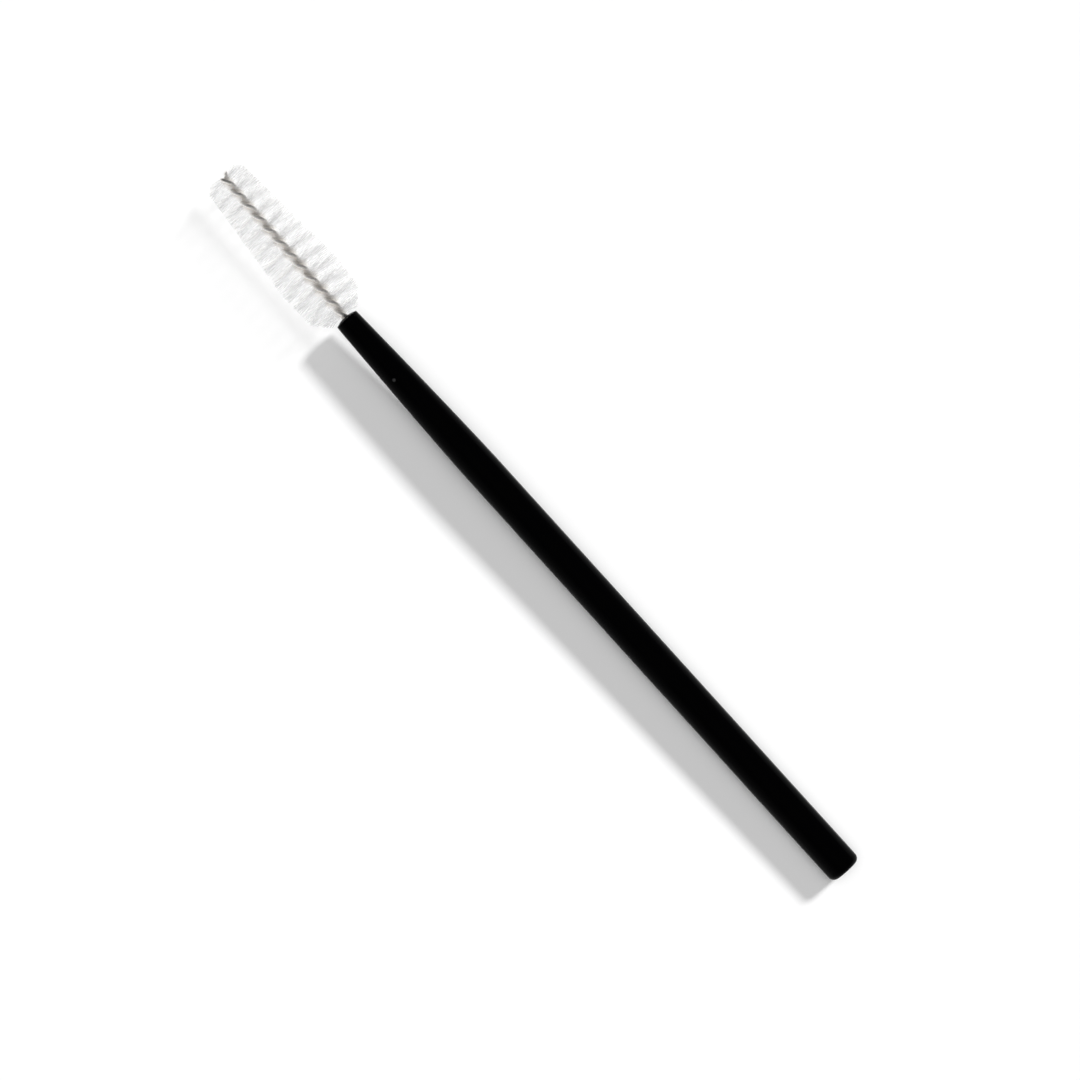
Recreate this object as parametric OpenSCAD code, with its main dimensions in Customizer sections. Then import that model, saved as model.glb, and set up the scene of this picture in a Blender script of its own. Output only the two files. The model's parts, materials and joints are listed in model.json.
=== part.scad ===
// Eyebrow brush: a black plastic handle that holds a twisted steel wire,
// with nylon bristles gripped between the two strands of the wire.
// It lies on its bristles and on the far end of its handle, on the plane z = 0.
// The handle's axis is over the X axis: the brush is at -X and the tail at +X.

/* [Handle] */
// Length of the handle from the middle of its nose to its tail
handle_len = 79.9; // [60:0.1:110]
// Diameter of the straight body
body_d = 3.85; // [3.2:0.05:5]
// Diameter of the nose, where the wire goes in
nose_d = 2.7; // [2.2:0.05:3]
// Length over which the nose widens into the body
taper_len = 22; // [10:0.5:40]
// Fullness of the taper: 1 is a straight cone, and more bows it outward
taper_bow = 1.35; // [1:0.05:2]
// Depth of the nose's rounded face
nose_crown = 0.25; // [0.1:0.05:0.6]
// Radius of the rounded rim at the tail
tail_round = 0.7; // [0.2:0.05:1]

/* [Twisted wire] */
// Diameter of the wire
strand_d = 0.48; // [0.36:0.02:0.56]
// Length along the wire of one full turn of the twist
twist_pitch = 3.39; // [2.5:0.005:5]
// Direction of the twist
twist_hand = -1; // [-1:Left, 1:Right]
// Length of the brush, from the handle's nose to the cut tip of the wire
head_len = 20.1; // [18.5:0.1:28]
// Length of twisted wire inside the handle
stem_len = 8; // [5:0.5:12]
// Length over which the twist runs out before the folded end
untwist_len = 1.5; // [0.5:0.1:3]
// How much further from the middle each cut end is than a strand in the twist
tip_splay = 0.17; // [0:0.01:0.3]
// Length over which the cut ends spread apart
splay_len = 1; // [0.5:0.1:2]
// How much shorter one strand is cut than the other
cut_step = 0.3; // [0:0.05:0.3]
// Sideways lean of the brush against the handle, in degrees
head_lean = 1.3; // [0:0.1:4]

/* [Bristles] */
// Thickness of one nylon filament
filament_d = 0.08; // [0.06:0.005:0.12]
// Gap between one filament and the next along the wire
filament_gap = 0.005; // [0.003:0.001:0.03]
// Distance from the cut tip to the first row of bristles that points sideways
first_row = 0.98; // [0:0.01:1.69]
// Bare wire at the cut tip
bare_tip = 0.45; // [0.3:0.05:1]
// Bare wire in front of the handle
bare_nose = 0.35; // [0.2:0.05:1]
// Radius of the trimmed brush at its very tip
tip_r = 1.75; // [1:0.05:2]
// Length of the bevel trimmed at the tip
tip_bevel = 0.8; // [0.5:0.1:2]
// Radius of the trimmed brush just behind the tip's bevel
front_r = 2.5; // [2:0.05:3]
// Radius of the trimmed brush where it is widest
wide_r = 3.6; // [3.5:0.05:5]
// Distance from the cut tip to the widest place
wide_at = 14.2; // [10:0.1:15.5]
// Radius of the trimmed brush in front of the bevel at the handle
back_r = 3.4; // [2.6:0.05:3.5]
// Length of the bevel trimmed at the handle
nose_bevel = 1.7; // [0.5:0.1:2.5]
// Radius of the trimmed brush right at the handle
mouth_r = 1.8; // [1.2:0.05:2.5]

/* [Fits] */
// Clearance between a filament and the strand on each side of it
pinch_clear = 0.01; // [0.005:0.005:0.03]
// Clearance around the twisted wire in the handle's bore
stem_clear = 0.03; // [0.01:0.01:0.1]
// Free depth of the bore beyond the folded end of the wire
bore_spare = 0.3; // [0.1:0.1:2]

/* [Hidden] */

// Twisted wire: each strand's middle keeps this distance from the wire's axis
strand_r = strand_d / 2;
strand_off = strand_r + filament_d / 2 + pinch_clear;
twist_rate = twist_hand * 360 / twist_pitch;
wire_len = head_len + stem_len;
untwist_at = wire_len - untwist_len;

// Bore of the handle, which the twisted stem and its folded end fill
bore_r = strand_off + strand_r + stem_clear;
bore_depth = stem_len + strand_off + strand_r + bore_spare;

// Bristles: one filament follows the next along the wire
filament_step = filament_d + filament_gap;
filament_count = floor((head_len - bare_tip - bare_nose) / filament_step) + 1;

// Outline that the bristles are trimmed to: distance from the cut tip, radius
trim_line = [
    [0, tip_r],
    [tip_bevel, front_r],
    [wide_at, wide_r],
    [head_len - nose_bevel, back_r],
    [head_len, mouth_r]
];

// Rest on a surface: the bristles touch it where they are widest, and the tail where its rim begins
whole_len = head_len + handle_len;
rest_span = whole_len - tail_round - wide_at;
rest_tilt = asin((wide_r - body_d / 2) / rest_span);
rest_lift = (wide_at - whole_len / 2) * sin(rest_tilt) + wide_r * cos(rest_tilt);

// Fineness of the shapes
round_sides = 64;
taper_steps = 16;
crown_steps = 4;
rim_steps = 6;
strand_sides = 8;
filament_sides = 6;
rings_per_turn = 16;
fold_steps = 6;

// Handle's outline from the edge of its bore to its tail: distance from the nose, radius
function crown_point(i) =
    let (out = i / crown_steps)
    [nose_crown * pow(out, 1.2), bore_r + (nose_d / 2 - bore_r) * out];

function taper_point(i) =
    let (left = 1 - i / taper_steps)
    [nose_crown + (taper_len - nose_crown) * (1 - left),
     (body_d - (body_d - nose_d) * pow(left, taper_bow)) / 2];

function rim_point(i) =
    let (a = 90 * i / rim_steps)
    [handle_len - tail_round * (1 - sin(a)), body_d / 2 - tail_round * (1 - cos(a))];

// Turn of the strands, in degrees, at a distance from the cut tip: the twist runs out before the fold.
// The strands are one above the other at the first row, where the filaments point sideways.
function strand_turn(s) =
    let (past = max(0, s - untwist_at))
    90 + twist_rate * (s - first_row - past * past / (2 * untwist_len));

function strand_rate(s) = twist_rate * (1 - max(0, s - untwist_at) / untwist_len);

function strand_radius(s) =
    strand_off + tip_splay * pow(max(0, 1 - s / splay_len), 2);

// One place along the wire: its middle, its direction and the direction away from the axis
function leg_place(s, side, way) =
    let (a = strand_turn(s) + side,
         r = strand_radius(s),
         out = [0, cos(a), sin(a)],
         slope = r * strand_rate(s) * PI / 180,
         along = [1, -slope * sin(a), slope * cos(a)])
    [[s - head_len, r * out.y, r * out.z], way * along / norm(along), out];

function fold_place(turned) =
    let (a = strand_turn(wire_len),
         out = [sin(turned), cos(turned) * cos(a), cos(turned) * sin(a)],
         along = [cos(turned), -sin(turned) * cos(a), -sin(turned) * sin(a)])
    [[stem_len, 0, 0] + strand_off * out, along, out];

// The brush leans about the middle of the nose, and the stem in the bore doesn't
function leaned(p) =
    p.x > 0 ? p : [p.x * cos(head_lean) + p.y * sin(head_lean),
                   p.y * cos(head_lean) - p.x * sin(head_lean), p.z];

function ring(place) =
    let (middle = place[0], out = place[2], across = cross(place[1], out))
    [for (k = [0 : strand_sides - 1])
        let (a = 360 * k / strand_sides)
        leaned(middle + strand_r * (cos(a) * out + sin(a) * across))];

// Lays what is drawn from the handle's nose along X down on the surface
module at_rest() {
    translate([0, 0, rest_lift])
        rotate([0, rest_tilt, 0])
        translate([head_len - whole_len / 2, 0, 0])
        children();
}

// Handle: one turned outline, with a blind bore for the wire
module handle() {
    outline = concat(
        [for (i = [0 : crown_steps - 1]) crown_point(i)],
        [for (i = [0 : taper_steps]) taper_point(i)],
        [for (i = [0 : rim_steps]) rim_point(i)],
        [[handle_len, 0], [bore_depth, 0], [bore_depth, bore_r]]
    );
    color("#0a0a0b")
        at_rest()
        rotate([0, 90, 0])
        rotate_extrude($fn = round_sides)
        polygon([for (p = outline) [p.y, p.x]]);
}

// Wire: one length folded in two, twisted from the fold to the cut tip
module core_wire() {
    leg_steps = ceil(wire_len / twist_pitch * rings_per_turn);
    places = concat(
        [for (i = [0 : leg_steps]) leg_place(cut_step + (wire_len - cut_step) * i / leg_steps, 0, 1)],
        [for (i = [1 : fold_steps - 1]) fold_place(180 * i / fold_steps)],
        [for (i = [leg_steps : -1 : 0]) leg_place(wire_len * i / leg_steps, 180, -1)]
    );
    last = len(places) - 1;
    sides = strand_sides;
    skin = [for (i = [0 : last - 1], k = [0 : sides - 1])
        let (a = i * sides + k, b = i * sides + (k + 1) % sides)
        each [[a, a + sides, b + sides], [a, b + sides, b]]];
    start_cut = [for (k = [0 : sides - 1]) k];
    end_cut = [for (k = [sides - 1 : -1 : 0]) last * sides + k];
    color("#b7b3ac")
        at_rest()
        polyhedron(
            points = [for (p = places) each ring(p)],
            faces = concat([start_cut, end_cut], skin)
        );
}

// One filament, held at its middle between the strands and trimmed at both ends
module filament(s) {
    translate([s - head_len, 0, 0])
        rotate([strand_turn(s), 0, 0])
        rotate([0, 0, 180 / filament_sides])
        cylinder(h = 2 * lookup(s, trim_line), d = filament_d, center = true, $fn = filament_sides);
}

// Bristles: filaments side by side along the wire, each turned with the twist
module bristles() {
    color("#f2f2f0")
        at_rest()
        rotate([0, 0, -head_lean])
        for (i = [0 : filament_count - 1]) filament(bare_tip + i * filament_step);
}

handle();
core_wire();
bristles();
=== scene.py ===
import json
import math
import random
import bpy
from mathutils import Matrix, Vector, noise


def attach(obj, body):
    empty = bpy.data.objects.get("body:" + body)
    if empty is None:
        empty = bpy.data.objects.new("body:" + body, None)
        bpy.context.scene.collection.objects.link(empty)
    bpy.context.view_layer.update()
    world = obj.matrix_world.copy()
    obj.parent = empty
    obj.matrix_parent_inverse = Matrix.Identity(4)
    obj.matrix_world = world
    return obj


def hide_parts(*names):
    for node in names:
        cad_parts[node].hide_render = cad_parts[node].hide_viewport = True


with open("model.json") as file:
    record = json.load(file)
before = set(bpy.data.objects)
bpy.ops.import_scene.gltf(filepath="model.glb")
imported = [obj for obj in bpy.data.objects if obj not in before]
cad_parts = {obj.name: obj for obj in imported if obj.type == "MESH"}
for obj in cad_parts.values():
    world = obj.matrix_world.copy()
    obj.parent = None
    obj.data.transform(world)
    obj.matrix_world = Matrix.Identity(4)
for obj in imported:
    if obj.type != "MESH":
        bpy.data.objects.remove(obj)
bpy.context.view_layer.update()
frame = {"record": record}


# Handle
# One injection-moulded rod of glossy black plastic. It widens from a low conical nose, where the
# wire goes in, to a straight body, and ends in a flat tail with a rounded rim.
handle_len = 79.9
body_r = 1.925
nose_r = 1.35
taper_len = 22
taper_bow = 1.35
nose_crown = 0.25
nose_bow = 1.2
nose_rim = [(-0.008, -0.022), (0.008, -0.006), (0.03, 0)]
tail_round = 0.7
bore_r = 0.56
bore_depth = 8.83
bore_lip = 0.05
dimple_r = 0.8
dimple_deep = 0.06
seam_rise = 0.012
seam_start = 0.44
sharp_edge = math.radians(40)
around = 160
nose_rows = 13
taper_rows = 40
body_rows = 24
rim_rows = 10
dimple_rows = 8
black_pigment = (0.0004, 0.0004, 0.0005, 1)
# A small light grey speck on the handle's skin near the nose.
speck_grey = (0.06, 0.06, 0.06, 1)
speck_place = (8.5, -0.57, 1.35)
speck_core, speck_r = 0.1, 0.28

# The brush lies on its bristles and its tail, so its own axis leans a little against the surface.
# Pieces are drawn in millimetres, from the middle of the nose along the handle.
mounts = {m["name"]: m for m in frame["record"]["mounts"]}
along = Vector(mounts["tail_end"]["axis"]).normalized()
side = Vector((0, 1, 0))
up = along.cross(side)
lie = Matrix((along, side, up)).transposed().to_4x4()
lie.translation = Vector(mounts["tail_end"]["pos_m"]) - along * handle_len * 0.001
lie @= Matrix.Scale(0.001, 4)


def closed_mesh(name, points, faces):
    """Makes a piece from points in millimetres, laid down on the surface as the brush lies."""
    mesh = bpy.data.meshes.new(name)
    mesh.from_pydata([lie @ Vector(p) for p in points], [], faces)
    mesh.validate()
    mesh.update()
    piece = bpy.data.objects.new(name, mesh)
    bpy.context.scene.collection.objects.link(piece)
    return piece


def handle_outline():
    """Rows of place and radius, from the end of the bore out over the nose and on to the tail."""
    rows = [(bore_depth, 0.0), (bore_depth, bore_r), (bore_lip, bore_r)]
    for i in range(1, nose_rows):
        out = i / nose_rows
        rows.append((nose_crown * out ** nose_bow, bore_r + (nose_r - bore_r) * out))
    rows += [(nose_crown + ahead, nose_r + out) for ahead, out in nose_rim]
    for i in range(1, taper_rows + 1):
        left = 1 - i / taper_rows
        rows.append((taper_len - (taper_len - nose_crown) * left,
                     body_r - (body_r - nose_r) * left ** taper_bow))
    straight = handle_len - tail_round - taper_len
    for i in range(1, body_rows + 1):
        rows.append((taper_len + straight * i / body_rows, body_r))
    for i in range(1, rim_rows + 1):
        a = math.radians(90 * i / rim_rows)
        rows.append((handle_len - tail_round * (1 - math.sin(a)),
                     body_r - tail_round * (1 - math.cos(a))))
    for i in range(dimple_rows + 1):
        r = dimple_r * (1 - i / dimple_rows)
        rows.append((handle_len - dimple_deep * (1 - (r / dimple_r) ** 2) ** 2, r))
    return rows


def turned(rows):
    """Points and faces of an outline turned about the handle, with the mould's seam on its skin."""
    points, faces, rings = [], [], []
    for x, r in rows:
        if r == 0:
            rings.append([len(points)] * around)
            points.append((x, 0, 0))
            continue
        rings.append(list(range(len(points), len(points) + around)))
        on_skin = r >= nose_r and seam_start < x < handle_len - tail_round
        for k in range(around):
            seam = seam_rise if on_skin and k % (around // 2) == 0 else 0
            a = 2 * math.pi * k / around
            points.append((x, (r + seam) * math.cos(a), (r + seam) * math.sin(a)))
    for ring, after in zip(rings, rings[1:]):
        for k in range(around):
            n = (k + 1) % around
            corners = [ring[k], ring[n], after[n], after[k]]
            faces.append(list(dict.fromkeys(corners)))
    return points, [f[::-1] for f in faces]


handle = closed_mesh("handle_rod", *turned(handle_outline()))
for face in handle.data.polygons:
    face.use_smooth = True
handle.data.set_sharp_from_angle(angle=sharp_edge)


def node(tree, kind, inputs=None, **settings):
    """Adds a shader node and fills its inputs, by name or number, from values or other nodes."""
    made = tree.nodes.new("ShaderNode" + kind)
    for name, value in settings.items():
        setattr(made, name, value)
    for name, value in (inputs or {}).items():
        if isinstance(value, bpy.types.NodeSocket):
            tree.links.new(value, made.inputs[name])
        else:
            made.inputs[name].default_value = value
    return made


black = bpy.data.materials.new("black_plastic")
black.use_nodes = True
tree = black.node_tree
skin = tree.nodes["Principled BSDF"]
place = node(tree, "TexCoord").outputs["Object"]
pores = node(tree, "TexNoise", {"Vector": place, "Scale": 2600, "Detail": 3, "Roughness": 0.6})
drawn = node(tree, "Mapping", {"Vector": place, "Scale": (90, 2600, 2600)})
hairlines = node(tree, "TexNoise", {"Vector": drawn.outputs[0], "Scale": 1, "Detail": 2,
                                    "Roughness": 0.7})
touched = node(tree, "TexNoise", {"Vector": place, "Scale": 160, "Detail": 4, "Roughness": 0.55})
relief = node(tree, "Math", {0: pores.outputs["Fac"], 1: hairlines.outputs["Fac"]}, operation="ADD")
grain = node(tree, "Bump", {"Height": relief.outputs[0], "Strength": 0.35, "Distance": 0.000006})
gloss = node(tree, "MapRange", {"Value": touched.outputs["Fac"], "From Min": 0.35, "From Max": 0.68,
                                "To Min": 0.2, "To Max": 0.34})
# A small round grey speck in the black near the nose.
off = node(tree, "VectorMath", {0: place, 1: lie @ Vector(speck_place)}, operation="DISTANCE")
speck = node(tree, "MapRange", {"Value": off.outputs["Value"], "From Min": 0.001 * speck_core,
                                "From Max": 0.001 * speck_r, "To Min": 1, "To Max": 0})
tint = node(tree, "Mix", {"Factor": speck.outputs[0], "A": black_pigment, "B": speck_grey},
            data_type="RGBA")
tree.links.new(tint.outputs["Result"], skin.inputs["Base Color"])
tree.links.new(gloss.outputs[0], skin.inputs["Roughness"])
tree.links.new(grain.outputs[0], skin.inputs["Normal"])
skin.inputs["Specular IOR Level"].default_value = 0.02
handle.data.materials.append(black)
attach(handle, "root")
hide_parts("handle")


# Wire
# One drawn steel wire, folded in two over the row of filaments and twisted to the left. The fold
# and a short stem sit in the handle, and the two cut ends spread a little at the tip.
strand_r = 0.24
strand_off = 0.29
twist_rate = -360 / 3.39
head_len = 20.1
stem_len = 8
untwist_len = 1.5
tip_splay = 0.17
splay_len = 1
cut_step = 0.3
first_row = 0.98
head_lean = math.radians(1.3)
wire_sides = 20
rings_per_turn = 48
fold_steps = 16
cut_girth = [0.72, 0.93]
dull_steel = (0.8, 0.78, 0.75, 1)
bright_steel = (0.97, 0.95, 0.92, 1)
wire_len = head_len + stem_len


def twist(s):
    """Turn of the strands, in radians, at a distance from the cut tip."""
    past = max(0.0, s - (wire_len - untwist_len))
    return math.radians(90 + twist_rate * (s - first_row - past * past / (2 * untwist_len)))


def leaned(p):
    """The brush leans sideways in front of the nose, and the stem in the bore is straight."""
    if p[0] > 0:
        return p
    c, s = math.cos(head_lean), math.sin(head_lean)
    return Vector((p[0] * c + p[1] * s, p[1] * c - p[0] * s, p[2]))


def leg(s, turn, way):
    """One place on a strand: its middle, its direction and the direction away from the axis."""
    a = twist(s) + turn
    past = max(0.0, s - (wire_len - untwist_len))
    rate = math.radians(twist_rate) * (1 - past / untwist_len)
    r = strand_off + tip_splay * max(0.0, 1 - s / splay_len) ** 2
    out = Vector((0, math.cos(a), math.sin(a)))
    ahead = Vector((1, -r * rate * math.sin(a), r * rate * math.cos(a))).normalized()
    return Vector((s - head_len, 0, 0)) + r * out, way * ahead, out


def fold(turn):
    """One place on the bend that joins the two strands at the end of the stem."""
    a = twist(wire_len)
    flat = Vector((0, math.cos(a), math.sin(a)))
    out = math.sin(turn) * Vector((1, 0, 0)) + math.cos(turn) * flat
    ahead = math.cos(turn) * Vector((1, 0, 0)) - math.sin(turn) * flat
    return Vector((stem_len, 0, 0)) + strand_off * out, ahead, out


leg_steps = round(wire_len * abs(twist_rate) / 360 * rings_per_turn)
short_len = wire_len - cut_step
route = [leg(cut_step + short_len * i / leg_steps, 0, 1) for i in range(leg_steps + 1)]
route += [fold(math.pi * i / fold_steps) for i in range(1, fold_steps)]
route += [leg(wire_len * i / leg_steps, math.pi, -1) for i in range(leg_steps, -1, -1)]
points, faces, far = [], [], []
run = 0.0
for i, (middle, ahead, out) in enumerate(route):
    across = ahead.cross(out)
    run += (middle - route[i - 1][0]).length if i else 0
    far.append(run)
    end = min(i, len(route) - 1 - i)
    girth = strand_r * (cut_girth[end] if end < len(cut_girth) else 1)
    for k in range(wire_sides):
        a = 2 * math.pi * k / wire_sides
        points.append(leaned(middle + girth * (math.cos(a) * out + math.sin(a) * across)))
for i in range(len(route) - 1):
    for k in range(wire_sides):
        n = (k + 1) % wire_sides
        here, there = i * wire_sides, (i + 1) * wire_sides
        faces.append([here + k, here + n, there + n, there + k])
faces.append(list(range(wire_sides))[::-1])
faces.append([(len(route) - 1) * wire_sides + k for k in range(wire_sides)])
wire = closed_mesh("twisted_wire", points, faces)
for face in wire.data.polygons[:-2]:
    face.use_smooth = True
unrolled = wire.data.uv_layers.new(name="along_wire")
for face in wire.data.polygons:
    for corner in face.loop_indices:
        v = wire.data.loops[corner].vertex_index
        unrolled.data[corner].uv = (far[v // wire_sides], (v % wire_sides) / wire_sides)

steel = bpy.data.materials.new("drawn_steel")
steel.use_nodes = True
tree = steel.node_tree
shine = tree.nodes["Principled BSDF"]
route_uv = node(tree, "UVMap", uv_map="along_wire").outputs[0]
lengthwise = node(tree, "Mapping", {"Vector": route_uv, "Scale": (0.7, 34, 1)})
streaks = node(tree, "TexNoise", {"Vector": lengthwise.outputs[0], "Scale": 1, "Detail": 3,
                                  "Roughness": 0.65})
lines = node(tree, "Bump", {"Height": streaks.outputs["Fac"], "Strength": 0.4,
                            "Distance": 0.000012})
tone = node(tree, "MapRange", {"Value": streaks.outputs["Fac"], "From Min": 0.3, "From Max": 0.7,
                               "To Min": 0.22, "To Max": 0.34})
warmth = node(tree, "Mix", {"Factor": streaks.outputs["Fac"], "A": dull_steel,
                            "B": bright_steel}, data_type="RGBA")
shine.inputs["Metallic"].default_value = 1
tree.links.new(warmth.outputs["Result"], shine.inputs["Base Color"])
tree.links.new(tone.outputs[0], shine.inputs["Roughness"])
tree.links.new(lines.outputs[0], shine.inputs["Normal"])
ray = node(tree, "LightPath")
light_past = node(tree, "BsdfTransparent", {"Color": (0.9, 0.9, 0.9, 1)})
seen = node(tree, "MixShader", {0: ray.outputs["Is Shadow Ray"], 1: shine.outputs[0],
                                2: light_past.outputs[0]})
tree.links.new(seen.outputs[0], tree.nodes["Material Output"].inputs["Surface"])
wire.data.materials.append(steel)
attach(wire, "root")
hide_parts("core_wire")


# Bristles
# Fine clear nylon filaments, gripped at their middle between the two strands, so that they stand
# in a double helix that turns with the twist. They are trimmed to a tapered outline.
filament_r = 0.022
filament_step = 0.0072
bare_tip = 0.4
bare_nose = 0.3
filament_sides = 5
filament_parts = 6
fan = 14
widest_fan = 24
tuft_slide, loose_slide = 0.3, 0.36
tuft_lean, loose_lean = 0.15, 0.12
slide_waves = (1.7, 9.3, 0)
lean_waves = (2.3, 4.1, 7)
uneven_trim = 0.015
tip_bow = 1.1
tip_clear = 0.05
floor_clear = 0.015
next_fibre = 0.37
trim_line = [(0, 1.75), (0.8, 2.5), (14.2, 3.65), (18.4, 3.4), (20.1, 1.8)]
milk_clear = (0.88, 0.88, 0.88, 1)
milk_white = (0.97, 0.97, 0.97, 1)
# Near the wire the filaments get a darker warm colour and a darker clear tint. This is painted
# shade between the crowded roots, warmed by a painted reflection of the steel.
painted_root_shade = (0.63, 0.615, 0.595, 1)
middle_tint = (0.986, 0.986, 0.986, 1)
tip_tint = (0.962, 0.962, 0.962, 1)
root_shade_tint = (0.95, 0.944, 0.935, 1)
pick = random.Random(11)


def trimmed(s):
    """Radius of the brush at a distance from the cut tip."""
    for (s0, r0), (s1, r1) in zip(trim_line, trim_line[1:]):
        if s <= s1:
            return r0 + (r1 - r0) * max(0.0, s - s0) / (s1 - s0)
    return trim_line[-1][1]


def tufts(s, way, waves):
    """Smooth noise along each side of the brush, so that neighbouring filaments move alike."""
    return noise.noise(Vector((s * waves[0], way * waves[1], waves[2])))


def half_filament(s, way, turn, offset):
    """The middle line of one half of a filament, from the wire to its trimmed tip."""
    out = way * Vector((0, math.cos(turn), math.sin(turn)))
    across = Vector((0, -math.sin(turn), math.cos(turn)))
    slide = tuft_slide * tufts(s, way, slide_waves) + pick.gauss(0, loose_slide)
    slide = max(tip_clear - s, min(head_len - tip_clear - s, slide))
    lean = tuft_lean * tufts(s, way, lean_waves) + pick.gauss(0, loose_lean)
    reach = trimmed(s + slide) * (1 - abs(pick.gauss(0, uneven_trim)))
    line = []
    for i in range(1, filament_parts // 2 + 1):
        t = i / (filament_parts // 2)
        bend = t ** tip_bow
        line.append(Vector((s - head_len + slide * bend, 0, 0)) + out * reach * t * math.cos(lean)
                    + across * (offset + reach * bend * math.sin(lean)))
    tip = lie @ leaned(line[-1])
    low = 0.001 * floor_clear
    if tip.z < low:
        root = Vector((s - head_len, 0, 0))
        high = (lie @ root).z
        line = [p.lerp(root, 1 - (high - low) / (high - tip.z)) for p in line]
    return line


points, faces = [], []
filaments = int((head_len - bare_tip - bare_nose) / filament_step) + 1
for i in range(filaments):
    s = bare_tip + i * filament_step
    fanned = max(-widest_fan, min(widest_fan, pick.gauss(0, fan)))
    turn = twist(s) + math.pi / 2 + math.radians(fanned)
    offset = (i % 3 - 1) * filament_r
    middle = Vector((s - head_len, 0, 0)) + Vector((0, -math.sin(turn), math.cos(turn))) * offset
    line = half_filament(s, -1, turn, offset)[::-1] + [middle] + half_filament(s, 1, turn, offset)
    start = len(points)
    for j, middle in enumerate(line):
        ahead = (line[min(j + 1, len(line) - 1)] - line[max(j - 1, 0)]).normalized()
        one = ahead.cross(Vector((1, 0, 0))).normalized()
        two = ahead.cross(one)
        for k in range(filament_sides):
            a = 2 * math.pi * k / filament_sides
            points.append(leaned(middle + filament_r * (math.cos(a) * one + math.sin(a) * two)))
    for j in range(len(line) - 1):
        for k in range(filament_sides):
            n = (k + 1) % filament_sides
            here, there = start + j * filament_sides, start + (j + 1) * filament_sides
            faces.append([here + k, here + n, there + n, there + k])
    faces.append([start + k for k in range(filament_sides)][::-1])
    faces.append([start + (len(line) - 1) * filament_sides + k for k in range(filament_sides)])
brush = closed_mesh("nylon_bristles", points, faces)
for face in brush.data.polygons:
    face.use_smooth = len(face.vertices) == 4
rings = filament_parts + 1
along_fibre = brush.data.uv_layers.new(name="along_fibre")
for face in brush.data.polygons:
    for corner in face.loop_indices:
        v = brush.data.loops[corner].vertex_index
        ring = v // filament_sides % rings
        from_wire = abs(ring - filament_parts // 2) / (filament_parts // 2)
        along_fibre.data[corner].uv = (from_wire, v // (filament_sides * rings) * next_fibre)

nylon = bpy.data.materials.new("clear_nylon")
nylon.use_nodes = True
tree = nylon.node_tree
fibre = tree.nodes["Principled BSDF"]
fibre_uv = node(tree, "UVMap", uv_map="along_fibre").outputs[0]
from_wire = node(tree, "SeparateXYZ", {0: fibre_uv}).outputs["X"]
haze = node(tree, "TexNoise", {"Vector": fibre_uv, "Scale": 6, "Detail": 2})
milky = node(tree, "Mix", {"Factor": haze.outputs["Fac"], "A": milk_clear, "B": milk_white},
             data_type="RGBA")
# Near the wire the base colour turns to the painted root shade.
pinched = node(tree, "MapRange", {"Value": from_wire, "From Min": 0.08, "From Max": 0.27,
                                  "To Min": 1, "To Max": 0})
base_with_root_shade = node(tree, "Mix", {"Factor": pinched.outputs[0], "A": milky.outputs["Result"],
                            "B": painted_root_shade}, data_type="RGBA")
tree.links.new(base_with_root_shade.outputs["Result"], fibre.inputs["Base Color"])
fibre.inputs["Roughness"].default_value = 0.35
# Near the wire the clear tint darkens too, as painted shade at the roots.
root_shade_fade = node(tree, "MapRange", {"Value": from_wire, "From Min": 0.1, "From Max": 0.28,
                                  "To Min": 1, "To Max": 0})
ground = node(tree, "MapRange", {"Value": from_wire, "From Min": 0.5, "From Max": 1})
free = node(tree, "Mix", {"Factor": ground.outputs[0], "A": middle_tint, "B": tip_tint},
            data_type="RGBA")
glassy = node(tree, "Mix", {"Factor": root_shade_fade.outputs[0], "A": free.outputs["Result"],
                            "B": root_shade_tint}, data_type="RGBA")
clear = node(tree, "BsdfTransparent", {"Color": glassy.outputs["Result"]})
frosted = node(tree, "MapRange", {"Value": pinched.outputs[0], "To Min": 0.1, "To Max": 0.3})
body = node(tree, "MixShader", {0: frosted.outputs[0], 1: clear.outputs[0], 2: fibre.outputs[0]})
light_through = node(tree, "BsdfTransparent", {"Color": (0.98, 0.98, 0.98, 1)})
ray = node(tree, "LightPath")
seen = node(tree, "MixShader", {0: ray.outputs["Is Shadow Ray"], 1: body.outputs[0],
                                2: light_through.outputs[0]})
tree.links.new(seen.outputs[0], tree.nodes["Material Output"].inputs["Surface"])
# A ray passes dozens of filaments on its way to the floor, so it is followed all that way.
bpy.context.scene.cycles.transparent_max_bounces = 96
bpy.context.scene.cycles.diffuse_bounces = 8
brush.data.materials.append(nylon)
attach(brush, "root")
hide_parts("bristles")


# Floor
# A plain white sheet under the brush, wide enough to run out of every view.
half = 2
paper_white = (0.92, 0.92, 0.92, 1)
floor_mesh = bpy.data.meshes.new("floor")
floor_mesh.from_pydata([(-half, -half, 0), (half, -half, 0), (half, half, 0), (-half, half, 0)],
                       [], [(0, 1, 2, 3)])
floor = bpy.data.objects.new("floor", floor_mesh)
bpy.context.scene.collection.objects.link(floor)
paper = bpy.data.materials.new("white_paper")
paper.use_nodes = True
sheet = paper.node_tree.nodes["Principled BSDF"]
sheet.inputs["Base Color"].default_value = paper_white
sheet.inputs["Roughness"].default_value = 0.9
sheet.inputs["Specular IOR Level"].default_value = 0
floor.data.materials.append(paper)


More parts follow.
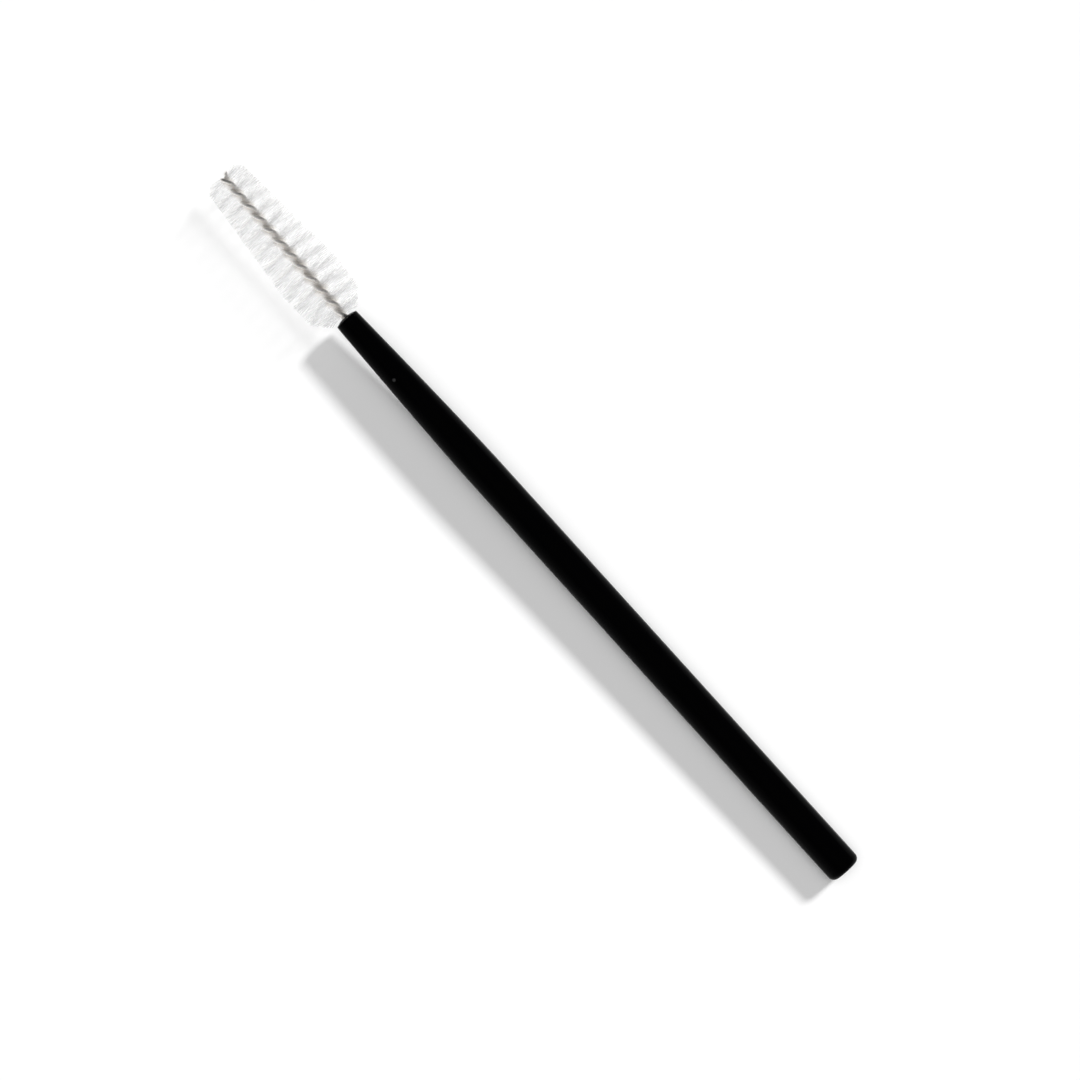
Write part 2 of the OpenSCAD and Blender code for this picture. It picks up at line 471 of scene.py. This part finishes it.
# Light
# A white room lit from overhead, and one soft lamp low over the side that the bristles lean to.
# In its shine the brush shows the pale wall across from the lamp and a dark ceiling.
white = (1, 1, 1, 1)
wall_glow = 0.85
softbox_glow = 4.35
softbox_focus = 13
room_glow = 0.02
lamp_power = 2.7
lamp_height = math.radians(37)
lamp_angle = math.radians(9)
room = bpy.data.worlds.new("room")
bpy.context.scene.world = room
room.use_nodes = True
tree = room.node_tree
walls = tree.nodes["Background"]
walls.inputs["Color"].default_value = white
walls.inputs["Strength"].default_value = wall_glow
ray = node(tree, "LightPath")
facing = node(tree, "SeparateXYZ", {0: node(tree, "TexCoord").outputs["Generated"]})
narrow = node(tree, "Math", {0: facing.outputs["Z"], 1: softbox_focus}, operation="POWER",
              use_clamp=True)
overhead = node(tree, "Math", {0: narrow.outputs[0], 1: softbox_glow, 2: room_glow},
                operation="MULTIPLY_ADD")
softbox = node(tree, "Background", {"Color": white, "Strength": overhead.outputs[0]})
low = node(tree, "MapRange", {"Value": facing.outputs["Z"], "From Min": 0.3, "From Max": 0.75,
                              "To Min": 0.9, "To Max": 0.05})
far_side = node(tree, "MapRange", {"Value": facing.outputs["Y"], "From Min": -0.8, "From Max": 0.6,
                                   "To Min": 1, "To Max": 0.15})
pale_wall = node(tree, "Math", {0: low.outputs[0], 1: far_side.outputs[0]}, operation="MULTIPLY")
mirrored = node(tree, "Background", {"Color": white, "Strength": pale_wall.outputs[0]})
lit = node(tree, "MixShader", {0: ray.outputs["Is Glossy Ray"], 1: softbox.outputs[0],
                               2: mirrored.outputs[0]})
shown = node(tree, "MixShader", {0: ray.outputs["Is Camera Ray"], 1: lit.outputs[0],
                                 2: walls.outputs[0]})
tree.links.new(shown.outputs[0], tree.nodes["World Output"].inputs["Surface"])
lamp = bpy.data.lights.new("lamp", "SUN")
lamp.energy = lamp_power
lamp.angle = lamp_angle
lamp_at = bpy.data.objects.new("lamp", lamp)
lamp_at.rotation_euler = (-(math.pi / 2 - lamp_height), 0, 0)
lamp_at.visible_glossy = False
bpy.context.scene.collection.objects.link(lamp_at)


# Camera
# Straight above the brush, turned so that the brush points to the upper left. The picture is
# photo_mm wide at the height of the handle's axis.
photo_mm = 115.5942
lens_mm = 200
film_mm = 36
photo_turn = math.radians(47.8153)
photo_middle = (0.00171305, -0.00053707)
axis_height = 0.0024
camera = bpy.data.cameras.new("camera")
camera.lens = lens_mm
camera.sensor_width = film_mm
camera_at = bpy.data.objects.new("camera", camera)
camera_at.location = (*photo_middle, axis_height + photo_mm * 0.001 * lens_mm / film_mm)
camera_at.rotation_euler = (0, 0, photo_turn)
bpy.context.scene.collection.objects.link(camera_at)
bpy.context.scene.camera = camera_at
bpy.context.scene.view_settings.view_transform = "Standard"
